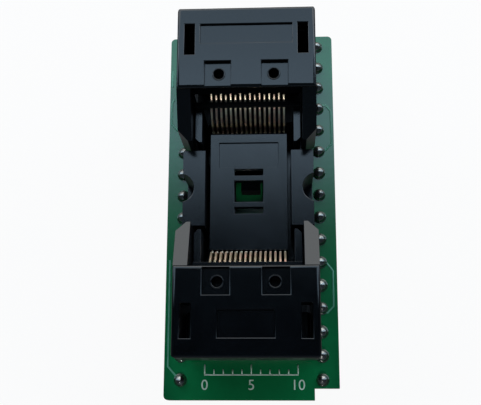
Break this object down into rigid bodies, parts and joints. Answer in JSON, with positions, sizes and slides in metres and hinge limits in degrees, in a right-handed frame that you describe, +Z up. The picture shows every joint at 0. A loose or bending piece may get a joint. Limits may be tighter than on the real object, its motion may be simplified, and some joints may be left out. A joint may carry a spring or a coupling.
{
  "type": "ic programming adapter",
  "caption": "Narrow circuit board with two rows of pins below, carrying an open-top socket whose end caps press down to swing the contact rows open for a thin flat chip.",
  "frame": {"origin": "centre of the board's outline, at the height of the pin tips", "axes": "+Z up out of the socket, +Y along the pin rows towards the back cap, +X to the right seen from the front"},
  "size_m": [0.0188, 0.0416, 0.0208],
  "materials": {
    "solder_mask": "green solder mask over traces",
    "strip_plastic": "black moulded plastic",
    "pin_metal": "plated turned pin",
    "solder": "bright solder",
    "socket_plastic": "fine spark-eroded black plastic",
    "cap_plastic": "satin moulded black plastic",
    "contact_gold": "gold-plated contact",
    "spring_steel": "drawn spring wire"
  },
  "bodies": {
    "adapter": {"circuit_board": "solder_mask", "left_pin_strip": "strip_plastic", "right_pin_strip": "strip_plastic", "left_pins": "pin_metal", "right_pins": "pin_metal", "left_solder_joints": "solder", "right_solder_joints": "solder", "socket_base": "socket_plastic", "chip_platform": "socket_plastic", "back_contact_comb": "socket_plastic", "front_contact_comb": "socket_plastic", "back_lower_contacts": "contact_gold", "front_lower_contacts": "contact_gold", "back_tail_solder": "solder", "front_tail_solder": "solder", "back_left_spring": "spring_steel", "back_right_spring": "spring_steel", "front_left_spring": "spring_steel", "front_right_spring": "spring_steel"},
    "back_cap_body": {"back_cap": "cap_plastic"},
    "front_cap_body": {"front_cap": "cap_plastic"},
    "back_arms_body": {"back_contact_arms": "contact_gold"},
    "front_arms_body": {"front_contact_arms": "contact_gold"}
  },
  "joints": [
    {"name": "back_cap_press", "type": "slide", "parent": "adapter", "child": "back_cap_body", "axis": [0, 0, -1], "range_m": [0, 0.0015], "stiffness_N_per_m": 150, "springref_m": -0.002, "deforming": ["back_left_spring", "back_right_spring"]},
    {"name": "front_cap_press", "type": "slide", "parent": "adapter", "child": "front_cap_body", "axis": [0, 0, -1], "range_m": [0, 0.0015], "stiffness_N_per_m": 150, "springref_m": -0.002, "deforming": ["front_left_spring", "front_right_spring"]},
    {"name": "back_contacts_open", "type": "hinge", "parent": "adapter", "child": "back_arms_body", "pos_m": [0, 0.00764, 0.0103], "axis": [-1, 0, 0], "range_deg": [0, 20]},
    {"name": "front_contacts_open", "type": "hinge", "parent": "adapter", "child": "front_arms_body", "pos_m": [0, -0.00694, 0.0103], "axis": [1, 0, 0], "range_deg": [0, 20]}
  ],
  "couplings": [
    {"joint": "back_contacts_open", "follows": "back_cap_press", "rad_per_m": 232.71},
    {"joint": "front_contacts_open", "follows": "front_cap_press", "rad_per_m": 232.71}
  ]
}
